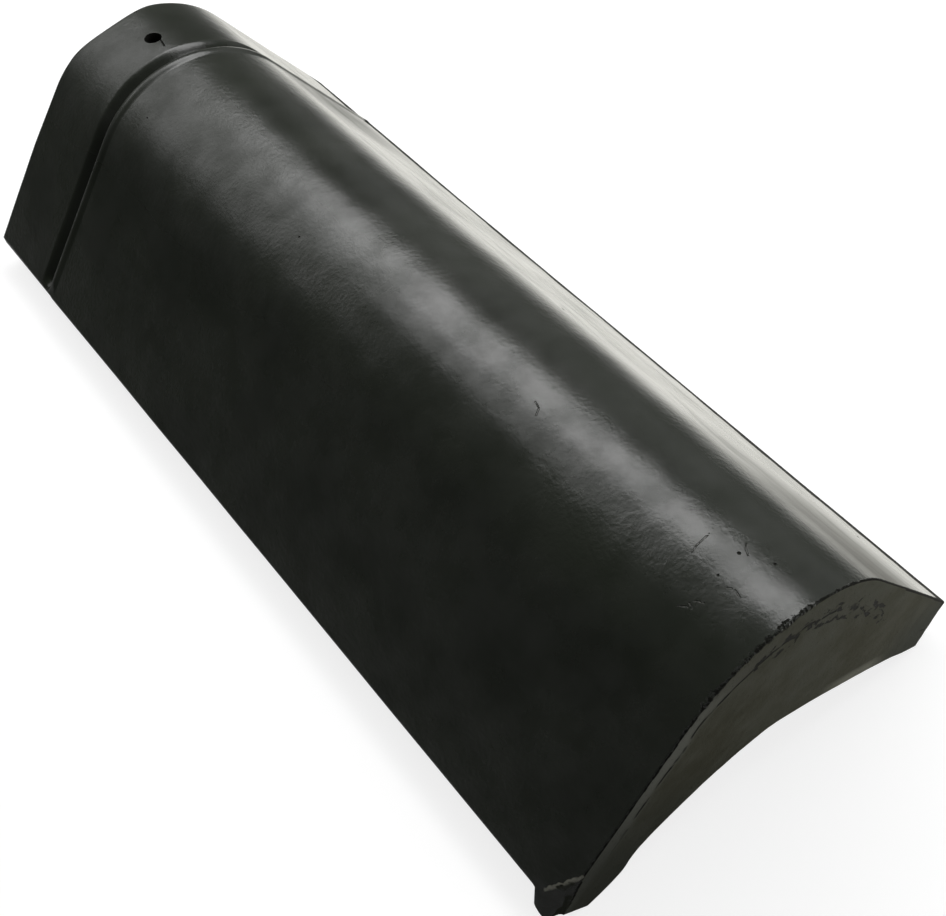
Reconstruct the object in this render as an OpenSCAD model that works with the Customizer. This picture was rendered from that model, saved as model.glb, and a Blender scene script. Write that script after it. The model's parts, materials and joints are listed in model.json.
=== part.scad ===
// Concrete ridge tile with one closed end: two flat wings that meet in a round crown.
// +X runs across the ridge, +Y along it from the closed end to the lap end, +Z up.
// The origin is at the middle of the tile, level with the lower edges of its feet.

/* [Body] */
// Overall length along the ridge
length = 420; // [320:1:520]
// Width over the outer edges of the feet
width = 184; // [165:1:240]
// Slope of each wing from the level, in degrees
wing_slope = 52; // [42:1:55]
// Outer radius of the crown
crown_r = 54; // [45:1:62]
// Thickness of the wall, square to its face
wall = 20; // [14:1:24]
// Lean of each foot's face from square to its wing, in degrees
foot_lean = 5; // [2:1:15]
// Chamfer along the outer edge of each foot
foot_chamfer = 3; // [1:0.5:5]

/* [Closed end] */
// Thickness of the web that closes the end
web_t = 20; // [12:1:40]
// Height of the top of the web's arch above the ground
arch_top = 32; // [24:1:45]
// How far above the foot's inner edge the arch runs into the wall
arch_spring = 4; // [2:0.5:10]

/* [Lap] */
// Length of the lap that the next tile covers
lap = 48; // [40:1:80]
// Drop of the lap's face below the body's face
lap_drop = 0.5; // [0.25:0.25:4]
// Width of the groove between body and lap, at the lap's face
groove_w = 7.5; // [6:0.5:12]
// Width of the groove's floor, from which its lap side slopes up
groove_floor = 3.5; // [1:0.5:5]
// Depth of the groove below the body's face
groove_depth = 4.5; // [4.25:0.25:8]
// How far the groove stops short of the foot's outer edge
groove_stop = 4; // [1:0.5:10]
// Width of the bead along the body's rim
bead_w = 5; // [3:0.5:8]
// Height of the bead above the body's face
bead_h = 0.75; // [0.5:0.25:2]

/* [Nail hole] */
// Diameter of the nail hole
nail_d = 8; // [5:0.5:12]
// Distance of the nail hole from the lap end
nail_inset = 26.5; // [15:0.5:30]

/* [Hidden] */
$fn = 96;
// Overrun of every cut past the face that it cuts
over = 1;
// How deep in the wall the arch ends, as a share of the wall
arch_root_share = 0.15;
// Coated concrete, as dark as it is seen
coat_color = [0.11, 0.11, 0.105];

// Foot: its inner edge reaches past the wing's outer edge, and stands on the ground
foot_run = foot_chamfer + wall * tan(foot_lean);
foot_drop = wall * cos(wing_slope) + foot_run * sin(wing_slope);

// Crown and wings, measured from the crown's axis
crown_z = foot_drop + width / 2 * tan(wing_slope) - crown_r / cos(wing_slope);
wing_len = (width / 2 - crown_r * sin(wing_slope)) / cos(wing_slope);
inner_r = crown_r - wall;
middle_r = crown_r - wall / 2;

// Ends of the tile, and the rim where the body ends and the lap starts
end_y = -length / 2;
rim_y = length / 2 - lap;
bead_r = (pow(bead_w / 2, 2) + pow(bead_h, 2)) / (2 * bead_h);

// Arch under the web: a circle through its top and its two ends inside the wall
spring_at = wing_len + foot_run - arch_spring;
root = on_wing(inner_r + arch_root_share * wall, spring_at);
arch_rise = arch_top - root.y;
arch_r = (pow(root.x, 2) + pow(arch_rise, 2)) / (2 * arch_rise);

// Point of the cross section, so far out of the crown's axis and so far down the right wing
function on_wing(out, down) = [
    out * sin(wing_slope) + down * cos(wing_slope),
    crown_z + out * cos(wing_slope) - down * sin(wing_slope)
];

// Point of the cross section round the crown, by its angle from the top
function on_crown(out, angle) = [out * sin(angle), crown_z + out * cos(angle)];

// Section of the wall along the ridge: x is out of the body's face, y along the ridge
module body_section() {
    translate([-wall, end_y - over]) square([wall, length - lap + over]);
    translate([-wall, rim_y]) square([wall - lap_drop, lap]);
}

// Section of the bead along the body's rim
module bead_section() {
    translate([bead_h - bead_r, rim_y - bead_w / 2]) circle(bead_r);
}

// Section of the groove behind the bead: upright at the bead, sloping up to the lap's face
module groove_section() {
    slope_run = (groove_w - groove_floor) / (groove_depth - lap_drop);
    polygon([
        [-groove_depth, rim_y],
        [-groove_depth, rim_y + groove_floor],
        [over, rim_y + groove_floor + (groove_depth + over) * slope_run],
        [over, rim_y]
    ]);
}

// Crown from one wing to the other, with its bead and groove
module crown() {
    translate([0, 0, crown_z])
        rotate([-90, 0, 0])
            rotate([0, 0, -90 - wing_slope])
                rotate_extrude(angle = 2 * wing_slope)
                    translate([crown_r, 0])
                        difference() {
                            union() {
                                body_section();
                                bead_section();
                            }
                            groove_section();
                        }
}

// Puts a shape on the left wing: x out of its face, y along the ridge, z down the wing
module on_left_wing(down = 0) {
    translate([0, 0, crown_z])
        rotate([0, -90 - wing_slope, 0])
            translate([crown_r, 0, down]) children();
}

// What is cut off below the foot's leaning face and its chamfered outer edge
module foot_cut() {
    lean_run = tan(foot_lean);
    chamfer_run = 1 + lean_run;
    reach = foot_run + 2 * over;
    rotate([90, 0, 0])
        linear_extrude(length + 4 * over, center = true)
            polygon([
                [over, wing_len - over * chamfer_run],
                [-foot_chamfer, wing_len + foot_chamfer * chamfer_run],
                [-wall - over, wing_len + foot_run + over * lean_run],
                [-wall - over, wing_len + reach],
                [over, wing_len + reach]
            ]);
}

// One wing with its foot: bead and groove stop short of the foot's outer edge
module left_wing() {
    grooved = wing_len - groove_stop;
    difference() {
        union() {
            on_left_wing() linear_extrude(wing_len + foot_run + over) body_section();
            on_left_wing() linear_extrude(grooved) bead_section();
        }
        on_left_wing(-over) linear_extrude(grooved + over) groove_section();
        on_left_wing() foot_cut();
    }
}

// Web across the closed end, from the middle of the wall down to its arch
module end_web() {
    right_side = [
        for (angle = [0, wing_slope / 2, wing_slope]) on_crown(middle_r, angle),
        on_wing(middle_r, spring_at),
        on_wing(0, spring_at)
    ];
    left_side = [for (i = [len(right_side) - 1 : -1 : 1]) [-right_side[i].x, right_side[i].y]];
    translate([0, end_y + web_t, 0])
        rotate([90, 0, 0])
            linear_extrude(web_t + over)
                difference() {
                    polygon(concat(right_side, left_side));
                    translate([0, arch_top - arch_r]) circle(arch_r);
                }
}

// Round hole through the crown of the lap for the ridge nail
module nail_hole() {
    translate([0, length / 2 - nail_inset, crown_z])
        cylinder(d = nail_d, h = crown_r + over);
}

// Left half of the tile, trimmed at the ridge line and at the closed end
module left_half() {
    difference() {
        union() {
            crown();
            left_wing();
            end_web();
        }
        translate([0, -length, -width]) cube([width, 2 * length, 2 * width]);
        translate([-width, end_y - length, -width]) cube([2 * width, length, 2 * width]);
    }
}

module ridge_tile() {
    color(coat_color)
        difference() {
            union() {
                left_half();
                mirror([1, 0, 0]) left_half();
            }
            nail_hole();
        }
}

ridge_tile();
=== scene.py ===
"""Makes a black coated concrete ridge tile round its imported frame, in a plain studio."""

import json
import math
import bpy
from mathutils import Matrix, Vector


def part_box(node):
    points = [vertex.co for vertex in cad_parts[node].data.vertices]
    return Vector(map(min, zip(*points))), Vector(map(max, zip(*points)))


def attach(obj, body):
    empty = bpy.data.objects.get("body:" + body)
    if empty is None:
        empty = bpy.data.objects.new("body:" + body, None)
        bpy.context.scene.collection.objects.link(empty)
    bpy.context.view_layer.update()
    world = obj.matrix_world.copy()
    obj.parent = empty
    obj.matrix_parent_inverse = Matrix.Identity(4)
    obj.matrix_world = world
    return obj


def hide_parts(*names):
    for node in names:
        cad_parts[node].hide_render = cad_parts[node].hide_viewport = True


bl_info = {
    "name": "Concrete Ridge Tile",
    "version": (1, 0, 0),
    "blender": (4, 5, 0),
    "location": "3D View > Sidebar > Ridge Tile",
    "description": "Makes a coated concrete ridge tile with a closed end, and a studio for it",
    "category": "Add Mesh",
}

from types import SimpleNamespace

import bpy
from mathutils import Matrix, Vector

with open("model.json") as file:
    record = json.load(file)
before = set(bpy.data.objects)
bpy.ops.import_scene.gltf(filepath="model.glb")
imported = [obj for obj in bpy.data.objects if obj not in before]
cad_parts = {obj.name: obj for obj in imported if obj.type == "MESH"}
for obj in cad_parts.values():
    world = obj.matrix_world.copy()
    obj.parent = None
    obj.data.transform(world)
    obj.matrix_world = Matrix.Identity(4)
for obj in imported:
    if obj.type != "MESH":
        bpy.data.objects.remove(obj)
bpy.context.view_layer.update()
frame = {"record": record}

TILE_NODE = "ridge_tile"
TILE_BODY = "root"
MM = 0.001

tile_low, tile_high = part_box(TILE_NODE)
mounts = {mount["name"]: mount for mount in frame["record"]["mounts"]}
nail_mount = mounts["nail_hole"]
lap_normal = Vector(mounts["right_lap"]["axis"])


def mm(*values):
    """Some lengths that are given in millimetres, in metres."""
    return tuple(value * MM for value in values)


def length(name, description, millimetres):
    """A length that a user would change, given in millimetres and kept in metres."""
    return bpy.props.FloatProperty(
        name=name, description=description, default=millimetres * MM, unit="LENGTH", precision=5)


def angle(name, description, degrees):
    """An angle that a user would change, given in degrees and kept in radians."""
    return bpy.props.FloatProperty(
        name=name, description=description, default=math.radians(degrees), subtype="ANGLE")


def factor(name, description, default, high=1.0):
    """A plain number between zero and a highest value."""
    return bpy.props.FloatProperty(
        name=name, description=description, default=default, min=0.0, max=high, subtype="FACTOR")


def colour(name, description, red, green, blue):
    """A linear colour."""
    return bpy.props.FloatVectorProperty(
        name=name, description=description, default=(red, green, blue), subtype="COLOR", min=0.0, max=1.0)


def place(name, description, x, y, z):
    """A point in the tile's frame, in metres."""
    return bpy.props.FloatVectorProperty(
        name=name, description=description, default=(x, y, z), subtype="TRANSLATION", unit="LENGTH")


def spread(name, description, x, y):
    """A place or a size on a level plane, given in millimetres and kept in metres."""
    return bpy.props.FloatVectorProperty(
        name=name, description=description, default=(x * MM, y * MM), size=2, unit="LENGTH")


class TileForm(bpy.types.PropertyGroup):
    """Sizes of the cast tile"""

    length: length("Length", "Overall length along the ridge", (tile_high.y - tile_low.y) / MM)
    width: length("Width", "Width over the outer edges of the feet", (tile_high.x - tile_low.x) / MM)
    wing_slope: angle("Wing slope", "Slope of each wing from the level",
                      math.degrees(math.atan2(lap_normal.x, lap_normal.z)))
    crown_radius: length("Crown radius", "Outer radius of the crown", 54)
    wall: length("Wall", "Thickness of the wall", 20)
    foot_lean: angle("Foot lean", "Lean of each foot's face from square to its wing", 5)
    foot_chamfer: length("Foot chamfer", "Chamfer along the outer edge of each foot", 3)
    web: length("Web", "Thickness of the web that closes the end", 20)
    arch_top: length("Arch top", "Height of the web's arch above the ground", 32)
    lap: length("Lap", "Length of the lap that the next tile covers", 48)
    lap_drop: length("Lap drop", "Drop of the lap's face below the body's face", 0.5)
    groove_width: length("Groove width", "Width of the groove at the lap's face", 7.5)
    groove_floor: length("Groove floor", "Width of the groove's floor, next to the bead", 3.5)
    groove_depth: length("Groove depth", "Depth of the groove below the body's face", 4.5)
    groove_stop: length("Groove stop", "How far the groove stops short of the foot's edge", 4)
    bead_width: length("Bead width", "Width of the bead along the body's rim", 5)
    bead_height: length("Bead height", "Height of the bead above the body's face", 0.75)
    nail_radius: length("Nail radius", "Radius of the nail hole", nail_mount["dims"]["r_mm"])
    nail_inset: length("Nail inset", "Distance of the nail hole from the lap end",
                       (tile_high.y - nail_mount["pos_m"][1]) / MM)


class TileWear(bpy.types.PropertyGroup):
    """Unevenness, chips and pits of this one tile"""

    wave_height: length("Wave height", "Height of the long waves of the faces", 0.3)
    wave_length: length("Wave length", "Length of the long waves of the faces", 70)
    ripple_height: length("Ripple height", "Height of the short ripples of the faces", 0.05)
    ripple_length: length("Ripple length", "Length of the short ripples of the faces", 10)
    arris: length("Arris", "Rounding of the closed end's outer edge", 0.6)
    ragged: length("Ragged arris", "More rounding where that edge has crumbled", 1.6)
    arch_arris: length("Arch arris", "Rounding of the arch's lower edge", 1.2)
    end_skew: length("End skew", "How far the closed end stands out at the right foot", 3)
    chip_across: length("Chip across", "Chip at the left foot, across the ridge", 17)
    chip_along: length("Chip along", "Chip at the left foot, along the ridge", 9)
    chip_depth: length("Chip depth", "Chip at the left foot, into the wall", 5)
    lump_height: length("Lump height", "Lump of mortar below the left foot, at the chip", 9.8)
    lump_along: length("Lump along", "Length of that lump along the ridge", 12.5)
    corner_along: length("Corner along", "Length of the right foot's worn corner", 60)
    corner_wear: factor("Corner wear", "How much of that foot's chamfer is worn off", 1.3, 2.0)
    lap_arris: length("Lap arris", "Rounding of the lap end's outer edge", 0.6)
    lap_skew: length("Lap skew", "How much longer the lap is on its left wing", 2.5)
    lap_flare: length("Lap flare", "How far the right wing flares out towards the lap", 0.8)
    dip_depth: length("Dip depth", "Hollow in the lap end's edge at the crown", 3.4)
    dip_reach: length("Dip reach", "Half width of the hollow in the lap end's edge", 24)
    dip_at: length("Dip place", "Place of that hollow, from the ridge line", -10)
    face_grain: length("Face grain", "Roughness of the bare closed end", 0.3)
    grain_length: length("Grain length", "Length of that roughness", 4.5)
    pit_depth: length("Pit depth", "Depth of the pits in the closed end", 0.9)
    pit_spacing: length("Pit spacing", "Mean distance of the pits in the closed end", 6)
    joint_at: length("Joint place", "Depth of the joint between wall and web below the face", 11)
    seed: factor("Seed", "Seed of all random unevenness", 3.0, 100.0)


class TileFinish(bpy.types.PropertyGroup):
    """Colours and gloss of the coating and of the bare concrete"""

    coat_dark: colour("Coating, dark", "Darker tone of the black coating", 0.0120, 0.0149, 0.0097)
    coat_grey: colour("Coating, grey", "Greyer tone of the black coating", 0.0174, 0.0208, 0.0143)
    coat_scuff: colour("Coating, scuffed", "Where the coating is scratched", 0.11, 0.11, 0.10)
    coat_dust: colour("Coating, dusty", "Dust on the right wing at the closed end", 0.07, 0.068, 0.05)
    coat_roughness: factor("Coating roughness", "Roughness of the coating", 0.25)
    concrete_olive: colour("Concrete, olive", "Browner tone of the bare concrete", 0.051, 0.0485, 0.0275)
    concrete_grey: colour("Concrete, grey", "Greyer tone of the bare concrete", 0.105, 0.107, 0.082)
    concrete_blue: colour("Concrete, blue", "Bluish skin along the wing's edge", 0.175, 0.18, 0.155)
    # Pale concrete: the chip's broken edge, partly a painted highlight, and the painted highlight along the
    # arch's lower edge
    concrete_pale: colour("Concrete, pale", "Freshly broken or scraped edges", 0.26, 0.26, 0.21)
    # Darker concrete: painted shade at the left foot and on the chip there, and the darkening towards the
    # right foot's corner
    concrete_stain: colour("Concrete, stained", "Dirty concrete at both feet", 0.036, 0.039, 0.03)
    # Near black: the joint, and painted shade at the bottoms of pits, in the crumbled edge and in the nail
    # hole; on the coating also the painted shadow band at the right foot
    concrete_dark: colour("Concrete, dark", "Worn edges and the bottoms of pits", 0.008, 0.008, 0.006)


class Studio(bpy.types.PropertyGroup):
    """Camera, floor and lamps"""

    camera_at: place("Camera", "Place of the camera", -0.18345, -0.32683, 0.44299)
    camera_azimuth: angle("Camera azimuth", "Direction of its view, from +Y towards +X", 33.04)
    camera_elevation: angle("Camera elevation", "How far the camera looks down", 51.76)
    camera_roll: angle("Camera roll", "Turn of the camera about its view, clockwise", 5.67)
    camera_lens: bpy.props.FloatProperty(
        name="Lens", description="Focal length on a 36 mm wide sensor, in mm", default=50.51, min=10.0)
    floor_tone: colour("Floor", "Tone of the floor in the lamps' light", 0.3, 0.3, 0.3)
    floor_white: factor("Floor white", "Plain white that the camera sees on the floor", 0.8)
    floor_gleam: colour("Floor gleam", "What the tile mirrors of the floor at right", 1.0, 0.985, 0.91)
    gleam_strength: factor("Gleam strength", "Strength of that gleam", 1.38, 5.0)
    floor_side: length("Floor side", "Side of the square floor", 1600)
    ceiling: length("Ceiling", "Height of the soft panels above the floor", 1200)
    key_at: spread("Key panel", "Middle of the panel over the near end, at the right", 640, 420)
    key_size: spread("Key panel size", "Sides of that panel", 760, 1750)
    key_glow: factor("Key panel glow", "Radiance of that panel", 4.6, 50.0)
    key_turn: angle("Key panel turn", "Turn of that panel, its far end to the left", 17)
    middle_at: spread("Middle panel", "Middle of the panel over the far end", 210, 1060)
    middle_size: spread("Middle panel size", "Sides of that panel", 950, 1400)
    middle_glow: factor("Middle panel glow", "Radiance of that panel", 1.75, 50.0)
    back_at: spread("Back panel", "Middle of the panel at the back, at the left", -560, 1800)
    back_size: spread("Back panel size", "Sides of that panel", 1250, 950)
    back_glow: factor("Back panel glow", "Radiance of that panel", 2.15, 50.0)
    back_turn: angle("Back panel turn", "Turn of that panel, its left end forwards", -20)
    right_at: place("Right panel", "Middle of the weak upright panel at the right", 1.9, 0.9, 0.9)
    right_size: spread("Right panel size", "Height and length of that panel", 1400, 2600)
    right_glow: factor("Right panel glow", "Radiance of that panel", 0.3, 50.0)
    front_at: place("Front lamp", "Place of the lamp that lights the closed end", 0.5, -1.2, 0.4)
    front_size: length("Front lamp size", "Side of that lamp", 600)
    front_power: factor("Front lamp power", "Power of that lamp, in W", 2.7, 500.0)
    world_glow: factor("World glow", "Strength of the even light all round", 0.12)


class RidgeTileSettings(bpy.types.PropertyGroup):
    """All settings of the tile and its studio"""

    form: bpy.props.PointerProperty(type=TileForm)
    wear: bpy.props.PointerProperty(type=TileWear)
    finish: bpy.props.PointerProperty(type=TileFinish)
    studio: bpy.props.PointerProperty(type=Studio)


# Rows of the tile's mesh, and how the rows along the ridge are shared out
ROWS_ACROSS = 140
ROWS_THROUGH = 48
ROWS_ARRIS, ROWS_WEB, ROWS_BODY, ROWS_RIM, ROWS_LAP, ROWS_END = 8, 8, 112, 30, 12, 8
ROWS_ALONG = ROWS_ARRIS + ROWS_WEB + ROWS_BODY + ROWS_RIM + ROWS_LAP + ROWS_END
# Rows crowd towards the outer face by this power
THROUGH_POWER = 1.3
# Edges that turn by more than this are sharp
SHARP_EDGE = math.radians(38)
# A face that looks outwards by more than this share carries the coating
COATED_SHARE = 0.13
# Sides of the drill for the nail hole, and its length in walls
HOLE_SIDES = 40
DRILL_WALLS = 3.0
NEARLY_ZERO = 1e-5
# Middle of what a noise gives
NOISE_MEAN = 0.5

# Softness of the edge between bead and groove
RIM_EDGE = 0.45 * MM
# Where the groove's sloping side starts and ends, as shares of the groove's floor and of its width
RISE_START_SHARE = 0.65
RISE_END_SHARE = 1.1
# Where on the wing its foot starts to lean
FOOT_START_SHARE = 0.7
# How far before its end the lap's flare and its skew start, in laps
FLARE_LAP_SHARE = 3.0
SKEW_LAP_SHARE = 0.7
# Where left of the ridge line the lap's skew starts and is full, in girths of half the crown
SKEW_START_SHARE = -0.7
SKEW_END_SHARE = -1.6
# How much of the closed end's skew its outer edge has, and how far the skew reaches, in webs
OUTER_SKEW_SHARE = 0.25
SKEW_WEBS = 2.0
# A chipped corner gives way along three axes in equal shares
CHIP_AXES = 3.0
# Lump of mortar: the shares of its length between which it is full, the share of the wall that it covers
LUMP_FULL_FROM = 0.44
LUMP_FULL_TO = 0.76
LUMP_WALL_SHARE = 0.85
# How far outwards it drifts, as a share of its height
LUMP_OUT_SHARE = 0.27
# Rounding of the arch's edge where the web runs out, and the web's height where the rounding is full
LEAST_ARRIS = 0.5 * MM
FULL_WEB = 12 * MM
# The closed end's roughness fades out over this much at its edges
RELIEF_FADE = 2 * MM
# Crumbled stretch of the closed end's outer edge, across from the ridge line, and its crumbs a metre
CRUMBLED_ACROSS = mm(-75, -50), mm(30, 0)
EDGE_CRUMBS = 260.0
# Noise levels between which that edge goes from whole to crumbled
CRUMBLED_LEVELS = (0.5, 0.72)

# Lower edge of the closed end from foot to foot, as shares of the foot's reach and of the arch's height
ARCH_SHARES = [
    (-1.0, 0.0), (-0.9, 0.06), (-0.82, 0.16), (-0.77, 0.34), (-0.72, 0.46), (-0.5, 0.71),
    (-0.28, 0.85), (-0.05, 0.885), (0.2, 0.775), (0.47, 0.58), (0.755, 0.32), (0.905, 0.11), (1.0, 0.0),
]


class Field:
    """A number that varies over a mesh or a surface, worked with as a plain number is."""

    def __init__(self, bench, socket):
        self.bench = bench
        self.socket = socket


def add_operator(name, operation, swapped=False):
    """Lets fields work with a sign of plain numbers."""
    def work(self, *others):
        values = (*others, self) if swapped else (self, *others)
        return self.bench.math(operation, *values)

    setattr(Field, name, work)


for sign, operation in (("add", "ADD"), ("sub", "SUBTRACT"), ("mul", "MULTIPLY"), ("truediv", "DIVIDE")):
    add_operator(f"__{sign}__", operation)
    add_operator(f"__r{sign}__", operation, swapped=True)
for sign, operation in (("pow", "POWER"), ("lt", "LESS_THAN"), ("gt", "GREATER_THAN"), ("abs", "ABSOLUTE")):
    add_operator(f"__{sign}__", operation)


class Bench:
    """Puts nodes into one tree and wires them up."""

    def __init__(self, tree):
        self.tree = tree

    def put(self, kind, inputs=None, **settings):
        """Adds a node with its settings, and fills its inputs."""
        node = self.tree.nodes.new(kind)
        for name, value in settings.items():
            setattr(node, name, value)
        self.fill(node, inputs or {})
        return node

    def fill(self, node, inputs):
        """Feeds a node's inputs by name or number."""
        for key, value in inputs.items():
            self.feed(node.inputs[key], value)

    def feed(self, socket, value):
        """Links a field or socket to an input, or sets the input's own value."""
        if isinstance(value, Field):
            value = value.socket
        if isinstance(value, bpy.types.NodeSocket):
            self.tree.links.new(value, socket)
        else:
            socket.default_value = value

    def math(self, operation, *values):
        node = self.put("ShaderNodeMath", dict(enumerate(values)), operation=operation)
        return Field(self, node.outputs[0])

    def least(self, first, second):
        return self.math("MINIMUM", first, second)

    def most(self, first, second):
        return self.math("MAXIMUM", first, second)

    def sin(self, value):
        return self.math("SINE", value)

    def cos(self, value):
        return self.math("COSINE", value)

    def root(self, value):
        return self.math("SQRT", value)

    def between(self, value, low, high, steps="LINEAR"):
        """Goes from 0 to 1 as the value goes from low to high."""
        node = self.put("ShaderNodeMapRange", {0: value, 1: low, 2: high}, interpolation_type=steps)
        return Field(self, node.outputs[0])

    def ease(self, value, low, high):
        """The same with a soft start and end."""
        return self.between(value, low, high, "SMOOTHSTEP")

    def fade(self, value, start, end):
        """Goes from 0 to 1 over one stretch and back over another, each given from its 0 to its 1."""
        return self.ease(value, *start) * self.ease(value, *end)

    def hump(self, value, middle, reach):
        """A smooth hump of height 1 around the middle."""
        side = (value - middle) / reach
        return self.most(1.0 - side * side, 0.0)

    def mix(self, share, first, second):
        return share * (second - first) + first

    def vector(self, x, y, z):
        return self.put("ShaderNodeCombineXYZ", {0: x, 1: y, 2: z}).outputs[0]

    def vector_math(self, operation, *values):
        """The vector or, where there is one, the number that a vector operation gives."""
        node = self.put("ShaderNodeVectorMath", dict(enumerate(values)), operation=operation)
        if operation in ("DOT_PRODUCT", "LENGTH", "DISTANCE"):
            return Field(self, node.outputs["Value"])
        return node.outputs["Vector"]

    def axes(self, socket):
        node = self.put("ShaderNodeSeparateXYZ", {0: socket})
        return [Field(self, output) for output in node.outputs]

    def noise(self, vector, scale, detail=2.0, roughness=0.5):
        """Smooth noise about 0.5, with scale in bumps a metre."""
        node = self.put("ShaderNodeTexNoise", {
            "Vector": vector, "Scale": scale, "Detail": detail, "Roughness": roughness})
        return Field(self, node.outputs[0])

    def cells(self, vector, scale):
        """Distance to the nearest of many scattered points, as a share of their spacing."""
        node = self.put("ShaderNodeTexVoronoi", {"Vector": vector, "Scale": scale, "Randomness": 1.0})
        return Field(self, node.outputs["Distance"])


def tile_lines(bench, form):
    """Derived sizes of the cross section, from fields or from plain numbers."""
    tan_slope = bench.sin(form.wing_slope) / bench.cos(form.wing_slope)
    tan_lean = bench.sin(form.foot_lean) / bench.cos(form.foot_lean)
    sin_slope = bench.sin(form.wing_slope)
    cos_slope = bench.cos(form.wing_slope)
    foot_run = form.foot_chamfer + form.wall * tan_lean
    foot_drop = form.wall * cos_slope + foot_run * sin_slope
    wing = (form.width * 0.5 - form.crown_radius * sin_slope) / cos_slope
    return SimpleNamespace(
        sin_slope=sin_slope, cos_slope=cos_slope, tan_lean=tan_lean, foot_run=foot_run,
        crown_z=foot_drop + form.width * 0.5 * tan_slope - form.crown_radius / cos_slope,
        wing=wing,
        crown=form.crown_radius * form.wing_slope,
        girth=form.crown_radius * form.wing_slope + wing,
        foot_reach=(form.crown_radius - form.wall) * sin_slope + (wing + foot_run) * cos_slope)


def settings_values(*groups):
    """The settings of some groups as a dict from their names to their values."""
    return {name: getattr(group, name) for group in groups for name in group.__annotations__}


def end_face_relief(bench, wear, x, z):
    """How far the bare closed end lies back from its plane."""
    flat = bench.vector(x, wear.seed, z)
    grain = bench.noise(flat, 1.0 / wear.grain_length, 3.0)
    broad = bench.noise(flat, 1.0 / wear.wave_length, 2.0)
    return (grain - NOISE_MEAN + (broad - NOISE_MEAN) * 2.0) * wear.face_grain


def rounded(bench, distance, radius):
    """Bends a stretch next to an edge round it: its new distance from the edge, and how far it sinks."""
    turn = bench.most(1.0 - distance / radius, 0.0) * (math.pi / 4)
    return bench.most(distance, radius) - radius * bench.sin(turn), radius * (1.0 - bench.cos(turn))


def tile_rows(bench, form, share):
    """Distance from the closed end for each row, with close rows at the ends and at the rim."""
    arris_stretch = 4 * MM
    rim_before = 8 * MM
    rim_stretch = 21 * MM
    end_stretch = 6 * MM
    body = form.length - form.lap - rim_before - form.web
    lap = form.lap + rim_before - rim_stretch - end_stretch
    stretches = [
        (arris_stretch, ROWS_ARRIS), (form.web - arris_stretch, ROWS_WEB), (body, ROWS_BODY),
        (rim_stretch, ROWS_RIM), (lap, ROWS_LAP), (end_stretch, ROWS_END),
    ]
    distance = 0.0
    start = 0
    for stretch, rows in stretches:
        part = bench.between(share, start / ROWS_ALONG, (start + rows) / ROWS_ALONG)
        distance = part * stretch + distance
        start += rows
    return distance


def rim_profile(bench, form, along, from_foot):
    """Height of bead, groove and lap over the body's face."""
    rim = form.length - form.lap
    half_stop = form.groove_stop * 0.5
    stop = bench.ease(from_foot, form.groove_stop - half_stop, form.groove_stop + half_stop)
    bead = bench.hump(along, rim - form.bead_width * 0.5, form.bead_width * 0.5) * form.bead_height
    step_in = bench.ease(along, rim - RIM_EDGE, rim + RIM_EDGE * 2.0)
    step_out = bench.ease(
        along, rim + form.groove_floor * RISE_START_SHARE, rim + form.groove_width * RISE_END_SHARE)
    groove = (form.groove_depth - form.lap_drop) * (1.0 - step_out) * stop
    return bead * stop - step_in * (form.lap_drop + groove)


def arch_height(bench, reach):
    """Height of the closed end's lower edge, as a share, at a share of the foot's reach."""
    curve = bench.put("ShaderNodeFloatCurve", {"Value": reach * 0.5 + 0.5})
    outline = curve.mapping.curves[0].points
    while len(outline) < len(ARCH_SHARES):
        outline.new(0.5, 0.5)
    for point, (reach_share, height_share) in zip(outline, ARCH_SHARES):
        point.location = (reach_share * 0.5 + 0.5, height_share)
    curve.mapping.update()
    return Field(bench, curve.outputs[0])


def drill_hole(bench, size, lines, tile):
    """Cuts the nail hole through the crown of the lap."""
    drill = bench.put("GeometryNodeMeshCylinder", {
        "Vertices": HOLE_SIDES, "Radius": size.nail_radius, "Depth": size.wall * DRILL_WALLS})
    middle_z = lines.crown_z + size.crown_radius - size.wall * 0.5
    set_drill = bench.put("GeometryNodeTransform", {
        "Geometry": drill.outputs["Mesh"],
        "Translation": bench.vector(0.0, size.length * 0.5 - size.nail_inset, middle_z)})
    drilled = bench.put(
        "GeometryNodeMeshBoolean", {"Mesh 1": tile, "Mesh 2": set_drill.outputs[0]},
        operation="DIFFERENCE", solver="EXACT")
    return drilled.outputs["Mesh"]


def crease(bench, tile):
    """Makes all faces smooth and the edges that turn much sharp."""
    smooth = bench.put("GeometryNodeSetShadeSmooth", {0: tile, "Shade Smooth": True})
    edge_angle = Field(bench, bench.put("GeometryNodeInputMeshEdgeAngle").outputs["Unsigned Angle"])
    creased = bench.put("GeometryNodeSetShadeSmooth", {
        0: smooth.outputs[0], "Selection": edge_angle > SHARP_EDGE, "Shade Smooth": False}, domain="EDGE")
    return creased.outputs[0]


def coat(bench, lines, tile, coating, concrete):
    """Gives every face that looks outwards the coating, and the others the bare concrete."""
    plain = bench.put("GeometryNodeRealizeInstances", {0: tile})
    bare = bench.put("GeometryNodeSetMaterial", {0: plain.outputs[0], "Material": concrete})
    x, _, z = bench.axes(bench.put("GeometryNodeInputPosition").outputs[0])
    rise = z - lines.crown_z
    lean = bench.least(abs(x) / bench.root(x * x + rise * rise), lines.sin_slope)
    normal = bench.axes(bench.put("GeometryNodeInputNormal").outputs[0])
    outwards = normal[0] * bench.math("SIGN", x) * lean + normal[2] * bench.root(1.0 - lean * lean)
    coated = bench.put("GeometryNodeSetMaterial", {
        0: bare.outputs[0], "Selection": outwards > COATED_SHARE, "Material": coating})
    return coated.outputs[0]


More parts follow.
